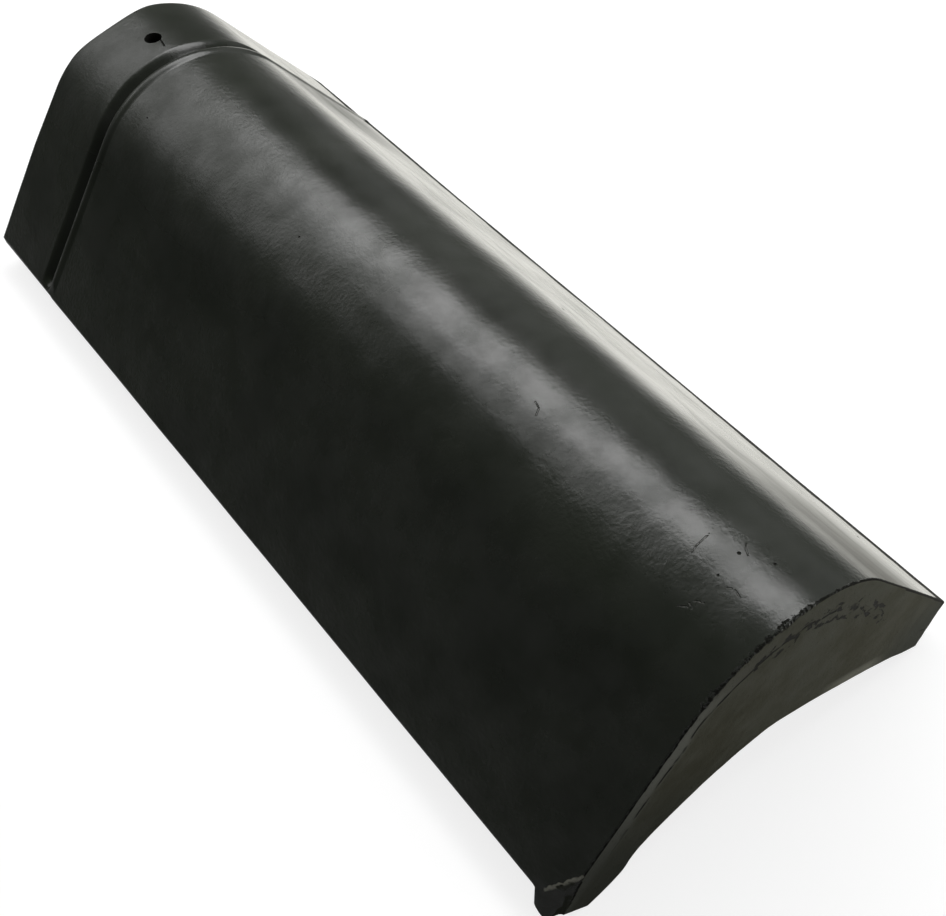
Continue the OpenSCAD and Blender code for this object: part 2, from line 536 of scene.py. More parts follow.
def tile_form_tree(form, wear, coating, concrete):
    """Node tree that bends a block of rows into the tile, with its web, rim, chips and nail hole."""
    tree = bpy.data.node_groups.new("ridge_tile_form", "GeometryNodeTree")
    tree.interface.new_socket("Tile", in_out="OUTPUT", socket_type="NodeSocketGeometry")
    for name in settings_values(form, wear):
        tree.interface.new_socket(name, in_out="INPUT", socket_type="NodeSocketFloat")
    bench = Bench(tree)
    entry = bench.put("NodeGroupInput")
    size = SimpleNamespace(**{
        name: Field(bench, entry.outputs[name]) for name in settings_values(form, wear)})
    lines = tile_lines(bench, size)

    block = bench.put("GeometryNodeMeshCube", {
        "Size": (1.0, 1.0, 1.0), "Vertices X": ROWS_ACROSS + 1,
        "Vertices Y": ROWS_ALONG + 1, "Vertices Z": ROWS_THROUGH + 1})
    row = bench.axes(bench.put("GeometryNodeInputPosition").outputs[0])
    through = (0.5 - row[2]) ** THROUGH_POWER
    on_outside = through < NEARLY_ZERO
    on_end = (row[1] + 0.5) < NEARLY_ZERO
    on_far = (0.5 - row[1]) < NEARLY_ZERO
    on_inside = (0.5 + row[2]) < NEARLY_ZERO
    on_left_foot = (row[0] + 0.5) < NEARLY_ZERO
    along = tile_rows(bench, size, row[1] + 0.5)

    # Chip at the left foot: rows in the corner slide on to one slanting plane
    from_left = (row[0] + 0.5) * 2.0 * lines.girth
    chip = bench.most(
        1.0 - from_left / size.chip_across - along / size.chip_along
        - through * size.wall / size.chip_depth, 0.0) / CHIP_AXES
    across = from_left + chip * size.chip_across - lines.girth
    along = along + chip * size.chip_along
    side = bench.math("SIGN", across)
    away = abs(across)
    from_foot = lines.girth - away

    # Outer face: long waves, short ripples and the rim
    spot = bench.vector(across, along, size.seed)
    waves = (bench.noise(spot, 1.0 / size.wave_length, 1.0) - NOISE_MEAN) * size.wave_height * 2.0
    ripples = (bench.noise(spot, 1.0 / size.ripple_length, 1.0) - NOISE_MEAN) * size.ripple_height * 2.0
    flare = bench.ease(along, size.length - size.lap * FLARE_LAP_SHARE, size.length)
    flare = flare * bench.ease(across, 0.0, lines.crown) * size.lap_flare
    height = rim_profile(bench, size, along, from_foot) + waves + ripples + flare

    # Inner wall, and the web's edge below it
    turn = bench.least(away / size.crown_radius, size.wing_slope)
    down = bench.most(away - lines.crown, 0.0)
    foot_share = bench.between(down, lines.wing * FOOT_START_SHARE, lines.wing)
    sin_turn = bench.sin(turn)
    cos_turn = bench.cos(turn)

    def section(out, below):
        """Point of the cross section, so far out of the crown's axis and so far down the wing."""
        return out * sin_turn + below * cos_turn, lines.crown_z + out * cos_turn - below * sin_turn

    inner_x, inner_z = section(size.crown_radius - size.wall, down + foot_share * lines.foot_run)
    arch_z = arch_height(bench, side * inner_x / lines.foot_reach) * size.arch_top
    in_web = along < (size.web + MM)
    web = bench.most(inner_z - arch_z, 0.0) * in_web
    line = size.wall + web
    reach = through * line

    # Edges: crumbled at the outer near edge, worn at the arch, rounded at the lap end
    crumbs = bench.noise(bench.vector(across, size.seed, 0.0), EDGE_CRUMBS, 3.0)
    crumbled = bench.fade(across, *CRUMBLED_ACROSS) * bench.ease(crumbs, *CRUMBLED_LEVELS)
    arris = size.arris + size.ragged * crumbled
    face_along, face_sink = rounded(bench, along, arris)
    end_reach, end_sink = rounded(bench, reach, arris)
    low_radius = size.arch_arris * bench.between(web, 0.0, FULL_WEB) + LEAST_ARRIS
    low_left, low_sink = rounded(bench, line - reach, low_radius)
    soffit_along, soffit_sink = rounded(bench, along, low_radius)
    lap_left, lap_sink = rounded(bench, size.length - along, size.lap_arris)
    lap_reach, lap_back = rounded(bench, reach, size.lap_arris)

    inner_face = on_inside * (1.0 - on_end) * in_web
    near_face = on_end * (1.0 - on_outside)
    far_face = on_far * (1.0 - on_outside)
    in_front = along < size.length * 0.5
    along = bench.mix(on_outside, along, bench.mix(in_front, size.length - lap_left, face_along))
    along = bench.mix(inner_face, along, soffit_along)
    reach = bench.mix(near_face, reach, line - low_left - (reach - end_reach))
    reach = bench.mix(far_face, reach, lap_reach)
    along = along - far_face * lap_back
    sink = on_outside * (face_sink + lap_sink)

    depth = bench.least(reach, size.wall)
    below = bench.most(reach - size.wall, 0.0)
    depth_share = depth / size.wall
    out = size.crown_radius + height * (1.0 - depth_share) - depth - sink - chip * size.chip_depth
    worn_corner = bench.ease(along, size.corner_along, 0.0) * (across > 0.0) * size.corner_wear
    chamfer = bench.least(depth, size.foot_chamfer) * (1.0 - worn_corner)
    shear = foot_share * (chamfer + depth * lines.tan_lean)
    x, z = section(out, down + shear)
    z = z - below + inner_face * soffit_sink

    # Lump of mortar below the left foot, down to the ground
    lump_share = bench.ease(along, size.lump_along, size.lump_along * LUMP_FULL_TO) * on_left_foot
    lump_share = lump_share * bench.ease(along, 0.0, size.lump_along * LUMP_FULL_FROM)
    lump = lump_share * bench.hump(reach / line, 0.0, LUMP_WALL_SHARE) * size.lump_height
    x = x + lump * LUMP_OUT_SHARE
    z = bench.most(z - lump, 0.0)

    # Roughness and skew of the closed end, and the lap end's hollow and skew
    relief = end_face_relief(bench, size, side * x, z)
    fade = bench.ease(reach, 0.0, RELIEF_FADE) * bench.ease(line - reach, 0.0, RELIEF_FADE)
    along = along + near_face * (end_sink + low_sink + relief * fade)
    dip = bench.hump(across, size.dip_at, size.dip_reach)
    longer = bench.between(across, lines.crown * SKEW_START_SHARE, lines.crown * SKEW_END_SHARE)
    longer = longer * size.lap_skew
    near_lap = bench.ease(along, size.length - size.lap * SKEW_LAP_SHARE, size.length)
    along = along + (longer - dip * dip * size.dip_depth) * near_lap
    skew = bench.most(across, 0.0) / lines.girth * size.end_skew
    skew = skew * bench.mix(through, OUTER_SKEW_SHARE, 1.0)
    along = along - skew * bench.ease(along, size.web * SKEW_WEBS, 0.0)
    bent = bench.put("GeometryNodeSetPosition", {
        "Geometry": block.outputs["Mesh"],
        "Position": bench.vector(side * x, along - size.length * 0.5, z)})
    drilled = drill_hole(bench, size, lines, bent.outputs[0])
    coated = coat(bench, lines, crease(bench, drilled), coating, concrete)
    bench.put("NodeGroupOutput", {0: coated})
    return tree


def surface_place(bench, form):
    """Place on the tile in metres: across from the left foot, along from the closed end, and depth."""
    lines = plain_lines(form)
    spot = bench.put("ShaderNodeTexCoord").outputs["Object"]
    x, y, z = bench.axes(spot)
    rise = z - lines.crown_z
    away = abs(x)
    down = away * lines.cos_slope - rise * lines.sin_slope
    on_wing = down > 0.0
    turn = bench.least(bench.math("ARCTAN2", away, rise), form.wing_slope)
    across = bench.math("SIGN", x) * (turn * form.crown_radius + bench.most(down, 0.0)) + lines.girth
    radius = bench.root(away * away + rise * rise)
    out = bench.mix(on_wing, radius, away * lines.sin_slope + rise * lines.cos_slope)
    return SimpleNamespace(
        object=spot, x=x, z=z, across=across, along=y + form.length * 0.5,
        depth=form.crown_radius - out)


class PlainNumbers:
    """Does on plain numbers what a bench does on fields."""

    sin = staticmethod(math.sin)
    cos = staticmethod(math.cos)


def plain_lines(form):
    """Derived sizes of the cross section in plain numbers."""
    return tile_lines(PlainNumbers, form)


def layered(bench, ground, *layers):
    """Lays colours over a ground colour, each by its own share."""
    for share, tint in layers:
        node = bench.put("ShaderNodeMix", data_type="RGBA")
        under = ground if isinstance(ground, bpy.types.NodeSocket) else (*ground, 1.0)
        bench.fill(node, {0: share, 6: under, 7: (*tint, 1.0)})
        ground = node.outputs[2]
    return ground


def new_material(name):
    """An empty node material with its shader: the material, its bench and the shader node."""
    material = bpy.data.materials.new(name)
    material.use_nodes = True
    material.node_tree.nodes.clear()
    bench = Bench(material.node_tree)
    shader = bench.put("ShaderNodeBsdfPrincipled")
    bench.put("ShaderNodeOutputMaterial", {"Surface": shader.outputs[0]})
    return material, bench, shader


def bumps(bench, *layers):
    """Bumps laid over one another, each by a height of 0 to 1 times its distance."""
    normal = None
    for height, distance in layers:
        node = bench.put("ShaderNodeBump", {"Height": height, "Distance": distance, "Strength": 1.0})
        if normal is not None:
            bench.feed(node.inputs["Normal"], normal)
        normal = node.outputs[0]
    return normal


# Scratches in the coating: their points in mm, across from the left foot and along from the closed end
SCRATCHES = [
    [(122.6, 37.0), (125.5, 37.8), (131.1, 38.4)],
    [(107.4, 27.1), (109.2, 24.7)],
    [(110.5, 25.6), (109.8, 23.5)],
    [(111.8, 24.7), (113.5, 22.1)],
    [(121.7, 20.8), (122.6, 19.6)],
    [(123.0, 18.7), (122.4, 16.0)],
    [(137.5, 28.7), (135.8, 27.0), (134.9, 25.2)],
    [(121.0, 111.0), (123.5, 112.5), (124.3, 115.5)],
    [(216.9, 55.4), (214.6, 51.9)],
]
# Crack from the nail hole to the groove, in the same way
CRACK = [(131.2, 390.4), (130.8, 387.4), (130.2, 384.6)]
SCRATCH_WIDTH = 0.4 * MM
CRACK_WIDTH = 0.55 * MM
# Full middle of a scratch and of a pinhole, as shares of its width and of its radius
SCRATCH_CORE = 0.3
PINHOLE_CORE = 0.4
# Pinholes in the coating in mm: across, along and radius
PINHOLES = [
    (133.2, 27.4, 0.7), (139.2, 17.9, 0.6), (122.8, 25.8, 0.5), (180.7, 159.7, 1.0),
    (236.0, 32.6, 0.9), (100.9, 353.1, 0.5), (109.0, 242.0, 0.5),
]


# Patterns of coating and concrete: bumps a metre, finer layers and how strong these are
PATTERNS = SimpleNamespace(
    coat_blotches=(22.0, 3.0, 0.5), coat_clouds=(55.0, 4.0, 0.6), coat_ripples=(520.0, 3.0, 0.6),
    coat_grain=(1400.0, 2.0, 0.6), scratch_breaks=(900.0, 1.0, 0.5), wing_streaks=(120.0, 3.0, 0.6),
    worn_waves=(90.0, 2.0, 0.5), chip_crumbs=(300.0, 2.0, 0.5),
    torn_patches=(75.0, 1.0, 0.5), torn_crumbs=(360.0, 5.0, 0.75), torn_bits=(950.0, 2.0, 0.5),
    concrete_clouds=(45.0, 4.0, 0.6), concrete_mottle=(130.0, 3.0, 0.6), concrete_sand=(1100.0, 2.0, 0.7),
    joint_waves=(60.0, 2.0, 0.5), joint_breaks=(140.0, 1.0, 0.5))
PIT_LAYERS = (3.0, 0.6)
GRIT_PER_METRE = 420.0
# Levels of patterns and masks between which what they mark goes from none to full
LEVELS = SimpleNamespace(
    coat_grey=(0.35, 0.65), rippled=(0.4, 0.6), shiny=(0.3, 0.7), scratched=(0.36, 0.48),
    streaked=(0.45, 0.75), torn=(0.3, 0.6), bits=(0.4, 0.5), chipped=(-0.04, 0.0), joint=(0.4, 0.52),
    pitted=(0.0, 0.4), pits=(0.545, 0.585), scraped=(0.22, 0.42), specks=(0.14, 0.07),
    concrete_clouds=(0.35, 0.65), concrete_mottle=(0.3, 0.7))
# Middle and half width of the chip's pale broken edge, partly a painted highlight, and how much crumbs move
# it, in the chip's own measure
BREAK_LEVELS = (-0.05, 0.06)
CHIP_CRUMBLE = 0.3
# How much the marks on coating and concrete show
COVER = SimpleNamespace(
    dust=0.5, scratches=0.5, skin=0.85, right_stain=0.95, scraped=0.9, left_stain=0.8, specks=0.6)
# Ripples where the coating is smooth, and what they gain elsewhere
RIPPLES_LEAST = 0.4
RIPPLES_MORE = 0.6
# What blotches, dull places and the far crown add to the coating's roughness, and what matt places have:
# the chip, the crumbled edge, pinholes and crack, and the painted shadow band at the right foot
ROUGHER = SimpleNamespace(blotches=0.1, dull=0.16, far_crown=0.1)
MATT_ROUGHNESS = 0.85
# How dull streaks, dust and the far patch make the right wing
DULL = SimpleNamespace(streaks=0.45, dust=1.9, patch=2.0)
# Specular level: least on the coating, more by its clouds, the far wing's loss, and on the same matt places
SHINE = SimpleNamespace(least=0.37, clouds=0.26, far_wing_loss=0.55, worn=0.1)
# What clouds, mottle, height and sand add to the concrete's grey; what height adds is painted light, making
# the concrete lighter towards its top as if lit from above
GREYER = SimpleNamespace(clouds=0.5, mottle=0.25, height=0.2, sand=0.25)
CONCRETE_ROUGHNESS = 0.9
CONCRETE_SHINE = 0.25
# How high the patterns stand, and how deep specks are as a share of the pits
RELIEF = SimpleNamespace(
    coat_clouds=0.22 * MM, coat_ripples=0.13 * MM, coat_grain=0.01 * MM, coat_marks=0.6 * MM,
    concrete_clouds=0.8 * MM, concrete_sand=0.3 * MM)
SPECK_DEPTH_SHARE = 0.4
# Shares of the nail hole's radius from where its wall is dark, partly as coating carried into the hole and
# partly as painted shade
IN_HOLE_SHARES = (1.2, 1.1)

# Where marks go from none to full, and back where they have two stretches: along from the closed end, or
# across from the left foot
DUST_ALONG = mm(100, 0)
DUST_ACROSS = mm(240, 190)
FAR_CROWN_ALONG = mm(120, 360)
FAR_CROWN_ACROSS = mm(60, 85), mm(140, 110)
FAR_WING_ALONG = mm(80, 340)
FAR_WING_ACROSS = mm(92, 70)
SHADOW_BAND_ALONG = mm(130, 20)
TORN_ACROSS = mm(75, 95), mm(165, 140)
JOINT_ACROSS = mm(20, 50), mm(200, 150)
JOINT_DEEPER = mm(80, 130)
PITS_ACROSS = mm(100, 125), mm(225, 190)
SKIN_END = mm(125, 75)
FOOT_SHADE = mm(75, 12)
END_FACE = mm(6, 4)
# The same from the ridge line, from the right foot's inner corner, up from the floor and into the wall
STRIP_ACROSS = mm(20, 38), mm(60, 48)
CORNER_DARKENING = mm(44, 10)
PAINTED_LIGHT_RISE = mm(15, 85)
BREAK_DEPTH = mm(0.8, 0.3)
# Middle and half width of marks: a dull patch on the right wing, and the strip of painted highlight and the
# pits on the closed end
PATCH_ALONG = mm(345, 35)
PATCH_ACROSS = mm(215, 35)
STRIP_ABOVE_ARCH = mm(3.6, 4.2)
PITS_BELOW_JOINT = mm(1, 5.5)
# Where right of the ridge line the right wing's marks start and are full, in girths of half the crown
WING_START_SHARE = 0.7
WING_FULL_SHARE = 1.1
# Streaks on the right wing: how far they wander, and how much they are drawn out along the ridge
STREAK_WANDER = 20 * MM
STREAK_SHARE = 0.16
# Painted shadow band along the right wing's foot edge, the dark reflection of the floor's shadow painted
# into the coating: its least width, what the near end and the waves add, and its border
SHADOW_BAND_LEAST, SHADOW_BAND_NEAR, SHADOW_BAND_WAVE, SHADOW_BAND_UNEVEN = mm(4, 1, 9, 8)
SHADOW_BAND_BORDER = mm(1, -2)
# Torn edge of the coating: its least width, what waves and crumbling add, and its border
TORN_LEAST, TORN_WAVE, TORN_CRUMBLED, TORN_BORDER = mm(0.5, 1.8, 10, 0.4)
TORN_LEVEL = 0.45
# Joint on the closed end: its waves, its half width and, from the joint, the border of the skin above it
JOINT_WAVE, JOINT_HALF = mm(5, 0.9)
SKIN_BORDER = mm(4, -3)
# Depth of the joint on the left wing, how much pits are flattened and how far the corner's stain wanders
JOINT_LEFT_SHARE = 0.65
PIT_FLATNESS = 1.7
STAIN_WANDER = 30 * MM


def strokes(bench, flat, points, width):
    """Mask of a scratch through some points, which fades out to its width."""
    marked = 0.0
    for start, end in zip(points, points[1:]):
        start = Vector((*start, 0.0)) * MM
        run = Vector((*end, 0.0)) * MM - start
        off = bench.vector_math("SUBTRACT", flat, start)
        share = bench.vector_math("DOT_PRODUCT", off, run / run.length_squared)
        held = bench.most(bench.least(share, 1.0), 0.0)
        rest = bench.vector_math("MULTIPLY_ADD", bench.vector(held, held, held), -run, off)
        mask = bench.ease(bench.vector_math("LENGTH", rest), width, width * SCRATCH_CORE)
        marked = bench.most(mask, marked)
    return marked


def torn_edge(bench, wear, across, away):
    """Mask of the crumbled band along the closed end's outer edge, by the distance from that edge."""
    place = bench.vector(across, away, wear.seed)
    crumbs = bench.noise(place, *PATTERNS.torn_crumbs)
    patches = bench.noise(bench.vector(across, 0.0, wear.seed), *PATTERNS.torn_patches)
    crumbled = bench.fade(across, *TORN_ACROSS) * bench.ease(patches, *LEVELS.torn)
    reach = TORN_LEAST + (crumbled * TORN_CRUMBLED + TORN_WAVE) * (crumbs - TORN_LEVEL)
    bits = bench.noise(place, *PATTERNS.torn_bits)
    kept = bench.most(bench.ease(bits, *LEVELS.bits), 1.0 - crumbled)
    return bench.ease(away, reach, reach - TORN_BORDER) * kept


def scratch_masks(bench, flat):
    """Masks of the scratches, and of the crack and the pinholes together."""
    scratched = 0.0
    for points in SCRATCHES:
        scratched = bench.most(strokes(bench, flat, points, SCRATCH_WIDTH), scratched)
    broken = bench.ease(bench.noise(flat, *PATTERNS.scratch_breaks), *LEVELS.scratched)
    holes = strokes(bench, flat, CRACK, CRACK_WIDTH)
    for hole_across, hole_along, hole_radius in PINHOLES:
        middle = Vector((hole_across, hole_along, 0.0)) * MM
        radius = hole_radius * MM
        off = bench.vector_math("DISTANCE", flat, middle)
        holes = bench.most(bench.ease(off, radius, radius * PINHOLE_CORE), holes)
    return scratched * broken, holes


def right_wing_masks(bench, lines, spot, blotches, clouds):
    """Masks on the right wing: dust at the near end, how dull it is, and the painted shadow band along the
    foot edge, where the coating is painted dark as it would mirror the floor's shadow.
    """
    from_ridge = spot.across - lines.girth
    on_wing = bench.ease(from_ridge, lines.crown * WING_START_SHARE, lines.crown * WING_FULL_SHARE)
    drawn = bench.vector(spot.across + blotches * STREAK_WANDER, spot.along * STREAK_SHARE, 0.0)
    streaks = bench.ease(bench.noise(drawn, *PATTERNS.wing_streaks), *LEVELS.streaked)
    dust = bench.ease(spot.along, *DUST_ALONG) * bench.ease(spot.across, *DUST_ACROSS)
    patch = bench.hump(spot.along, *PATCH_ALONG) * bench.hump(spot.across, *PATCH_ACROSS)
    dull = streaks * DULL.streaks + dust * DULL.dust + patch * clouds * DULL.patch
    reach = SHADOW_BAND_LEAST + bench.ease(spot.along, *SHADOW_BAND_ALONG) * SHADOW_BAND_NEAR
    reach = reach + bench.noise(drawn, *PATTERNS.worn_waves) * SHADOW_BAND_WAVE
    from_foot = lines.girth - from_ridge + (clouds - NOISE_MEAN) * SHADOW_BAND_UNEVEN
    # Painted shadow: the band along the foot edge is painted dark, as the coating would mirror the floor's
    # shadow there
    worn = bench.ease(from_foot, reach + SHADOW_BAND_BORDER[0], reach + SHADOW_BAND_BORDER[1])
    return dust * on_wing, dull * on_wing, worn * on_wing


def chip_masks(bench, wear, spot, flat):
    """Masks of the chip at the left foot, and of its pale broken edge, which is partly a painted highlight.
    """
    chip = 1.0 - spot.across / wear.chip_across - spot.along / wear.chip_along
    chip = chip - spot.depth / wear.chip_depth
    chip = chip + (bench.noise(flat, *PATTERNS.chip_crumbs) - NOISE_MEAN) * CHIP_CRUMBLE
    # The chip's broken edge is painted pale, partly as fresh concrete and partly as a painted highlight
    fresh_and_lit = bench.hump(chip, *BREAK_LEVELS) * bench.ease(spot.depth, *BREAK_DEPTH)
    return bench.ease(chip, *LEVELS.chipped), fresh_and_lit


def coating_material(form, wear, finish):
    """Satin black coating: ripples that tear its gleam, scratches, pinholes, a crumbled closed-end edge
    painted near black as painted shade, a chip painted darker as shade with a pale edge that is partly a
    painted highlight, and a painted shadow band along the right foot edge.
    """
    material, bench, shader = new_material("black_coating")
    spot = surface_place(bench, form)
    flat = bench.vector(spot.across, spot.along, 0.0)
    blotches = bench.noise(flat, *PATTERNS.coat_blotches)
    clouds = bench.noise(flat, *PATTERNS.coat_clouds)
    ripples = bench.noise(flat, *PATTERNS.coat_ripples)
    ripples = ripples * (bench.ease(blotches, *LEVELS.rippled) * RIPPLES_MORE + RIPPLES_LEAST)
    grain = bench.noise(flat, *PATTERNS.coat_grain)
    scratched, holes = scratch_masks(bench, flat)
    dust, dull, worn = right_wing_masks(bench, plain_lines(form), spot, blotches, clouds)
    chipped, fresh_and_lit = chip_masks(bench, wear, spot, flat)
    # The crumbled edge, pinholes and crack sink; the crumbled edge is also painted near black as painted
    # shade in its chips
    sunk = bench.most(holes, torn_edge(bench, wear, spot.across, spot.along))

    paint = layered(
        bench, finish.coat_dark,
        (bench.ease(blotches, *LEVELS.coat_grey), finish.coat_grey),
        (dust * COVER.dust, finish.coat_dust),
        (scratched * COVER.scratches, finish.coat_scuff),
        # Near black: the crumbled edge and pinholes, and the painted shadow band at the right foot
        (bench.most(sunk, worn), finish.concrete_dark),
        # The chip's bare concrete, painted darker as painted shade
        (chipped, finish.concrete_stain),
        # The chip's pale broken edge, partly a painted highlight
        (fresh_and_lit, finish.concrete_pale))

    # The coating is rougher towards the lap on the crown, and shines less there on the left wing
    far_crown = bench.fade(spot.across, *FAR_CROWN_ACROSS)
    far_crown = far_crown * bench.ease(spot.along, *FAR_CROWN_ALONG)
    far_wing = bench.ease(spot.along, *FAR_WING_ALONG) * bench.ease(spot.across, *FAR_WING_ACROSS)
    gloss = finish.coat_roughness + (blotches - NOISE_MEAN) * ROUGHER.blotches
    gloss = gloss + dull * ROUGHER.dull + far_crown * ROUGHER.far_crown
    shine = bench.ease(clouds, *LEVELS.shiny) * SHINE.clouds + SHINE.least
    shine = shine * (1.0 - far_wing * SHINE.far_wing_loss)
    matt = bench.most(bench.most(chipped, worn), sunk)
    relief = bumps(
        bench, (clouds, RELIEF.coat_clouds), (ripples, RELIEF.coat_ripples), (grain, RELIEF.coat_grain),
        (1.0 - bench.most(sunk, scratched), RELIEF.coat_marks))
    bench.fill(shader, {
        "Base Color": paint, "Roughness": bench.mix(matt, gloss, MATT_ROUGHNESS),
        "Specular IOR Level": bench.mix(matt, shine, SHINE.worn), "Normal": relief})
    return material


def joint_masks(bench, wear, spot):
    """Masks on the closed end: the joint between wall and web with its pits, and the skin above it."""
    edge = bench.vector(spot.across, spot.depth, wear.seed)
    joint_at = wear.joint_at * bench.mix(bench.ease(spot.across, *JOINT_DEEPER), JOINT_LEFT_SHARE, 1.0)
    joint_at = joint_at + (bench.noise(edge, *PATTERNS.joint_waves) - NOISE_MEAN) * JOINT_WAVE
    off_joint = spot.depth - joint_at
    joint = bench.hump(off_joint, 0.0, JOINT_HALF) * bench.fade(spot.across, *JOINT_ACROSS)
    joint = joint * bench.ease(bench.noise(edge, *PATTERNS.joint_breaks), *LEVELS.joint)
    flattened = bench.vector(spot.across, spot.depth * PIT_FLATNESS, wear.seed)
    dashes = bench.noise(flattened, 1.0 / wear.pit_spacing, *PIT_LAYERS)
    pitted = bench.hump(off_joint, *PITS_BELOW_JOINT) * bench.fade(spot.across, *PITS_ACROSS)
    pits = bench.ease(dashes * bench.ease(pitted, *LEVELS.pitted), *LEVELS.pits)
    skin = bench.ease(off_joint, *SKIN_BORDER) * bench.ease(spot.across, *SKIN_END)
    return bench.most(joint, pits), skin


def end_face_masks(bench, form, spot, clouds, mottle):
    """Masks on the closed end: the painted highlight, a pale strip along the arch's lower edge as if the
    floor lit it, the darkening towards the right foot's corner, and the painted shade at the left foot.
    """
    foot_reach = plain_lines(form).foot_reach
    above_arch = spot.z - arch_height(bench, spot.x / foot_reach) * form.arch_top
    # Painted highlight: a pale strip along the arch's lower edge, as if lit by the floor
    scraped = bench.hump(above_arch, *STRIP_ABOVE_ARCH) * bench.fade(spot.x, *STRIP_ACROSS)
    scraped = scraped * bench.ease(mottle, *LEVELS.scraped)
    off_corner = bench.vector_math("LENGTH", bench.vector(spot.x - foot_reach, 0.0, spot.z))
    # Darker towards the right foot's corner at the floor
    right = bench.ease(off_corner + (clouds - NOISE_MEAN) * STAIN_WANDER, *CORNER_DARKENING)
    # Painted shade: darker towards the left foot
    left = bench.ease(spot.across, *FOOT_SHADE)
    return scraped, right, left


def concrete_material(form, wear, finish):
    """Bare sandy concrete: a paler skin over a dark joint, small pits painted dark at their bottoms as
    painted shade, painted light that makes it lighter towards the top, a painted highlight along the arch,
    painted shade at the left foot, a darker right foot corner, and a lip and nail hole painted dark, partly
    coating and partly painted shade.
    """
    material, bench, shader = new_material("bare_concrete")
    spot = surface_place(bench, form)
    clouds = bench.noise(spot.object, *PATTERNS.concrete_clouds)
    mottle = bench.noise(spot.object, *PATTERNS.concrete_mottle)
    sand = bench.noise(spot.object, *PATTERNS.concrete_sand)
    specks = bench.ease(bench.cells(spot.object, GRIT_PER_METRE), *LEVELS.specks)
    on_end = bench.ease(spot.along, *END_FACE)
    marks, skin = joint_masks(bench, wear, spot)
    marks = marks * on_end
    scraped, right_stain, left_stain = end_face_masks(bench, form, spot, clouds, mottle)
    # Dark lip along the outer edge: partly coating carried over the edge, partly painted shade in the
    # crumbled arris
    lip_and_shade = torn_edge(bench, wear, spot.across, spot.depth) * on_end
    # Nail hole's wall painted near black: partly coating carried into the hole, partly painted shade
    off_hole = bench.vector_math("LENGTH", bench.vector(
        spot.x, spot.along - (form.length - form.nail_inset), 0.0))
    in_hole = bench.ease(off_hole / form.nail_radius, *IN_HOLE_SHARES)

    tone = bench.ease(clouds, *LEVELS.concrete_clouds) * GREYER.clouds
    tone = tone + bench.ease(mottle, *LEVELS.concrete_mottle) * GREYER.mottle
    # Painted light: greyer and lighter towards the top, as if lit from above
    tone = tone + bench.ease(spot.z, *PAINTED_LIGHT_RISE) * GREYER.height + (sand - NOISE_MEAN) * GREYER.sand
    stone = layered(
        bench, finish.concrete_olive,
        (tone, finish.concrete_grey),
        (skin * on_end * COVER.skin, finish.concrete_blue),
        # Darker towards the right foot's corner at the floor
        (right_stain * on_end * COVER.right_stain, finish.concrete_stain),
        # Painted highlight along the arch's lower edge
        (scraped * on_end * COVER.scraped, finish.concrete_pale),
        # Painted shade at the left foot
        (left_stain * on_end * COVER.left_stain, finish.concrete_stain),
        (specks * COVER.specks, finish.concrete_dark),
        # The joint is dark; the pits are painted dark at their bottoms as painted shade
        (marks, finish.concrete_dark),
        # Near black: the lip and the nail hole's wall, each partly coating and partly painted shade
        (bench.most(lip_and_shade, in_hole), finish.concrete_dark))
    relief = bumps(
        bench, (clouds, RELIEF.concrete_clouds), (sand, RELIEF.concrete_sand),
        (1.0 - bench.most(marks, specks * SPECK_DEPTH_SHARE), wear.pit_depth))
    bench.fill(shader, {
        "Base Color": stone, "Roughness": CONCRETE_ROUGHNESS, "Specular IOR Level": CONCRETE_SHINE,
        "Normal": relief})
    return material


def keep_result(maker, name):
    """Turns what a node modifier makes into a plain mesh object, and removes the maker."""
    graph = bpy.context.evaluated_depsgraph_get()
    mesh = bpy.data.meshes.new_from_object(maker.evaluated_get(graph))
    bpy.data.objects.remove(maker)
    if mesh.materials[0] is None:
        mesh.materials.pop(index=0)
    mesh.name = name
    piece = bpy.data.objects.new(name, mesh)
    bpy.context.collection.objects.link(piece)
    return piece


class RIDGETILE_OT_make_tile(bpy.types.Operator):
    """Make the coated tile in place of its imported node"""

    bl_idname = "ridge_tile.make_tile"
    bl_label = "Make Ridge Tile"

    def execute(self, context):
        settings = context.scene.ridge_tile
        coating = coating_material(settings.form, settings.wear, settings.finish)
        concrete = concrete_material(settings.form, settings.wear, settings.finish)
        tree = tile_form_tree(settings.form, settings.wear, coating, concrete)
        maker = bpy.data.objects.new("tile_maker", bpy.data.meshes.new("tile_maker"))
        context.collection.objects.link(maker)
        modifier = maker.modifiers.new("form", "NODES")
        modifier.node_group = tree
        values = settings_values(settings.form, settings.wear)
        for item in tree.interface.items_tree:
            if item.in_out == "INPUT":
                modifier[item.identifier] = values[item.name]
        tile = keep_result(maker, "coated_ridge_tile")
        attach(tile, TILE_BODY)
        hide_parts(TILE_NODE)
        return {"FINISHED"}


# Where the floor's gleam ends and starts to fade, in half widths of the tile
GLEAM_END_SHARE = 4.2
GLEAM_FADE_SHARE = 1.5
FLOOR_ROUGHNESS = 0.9


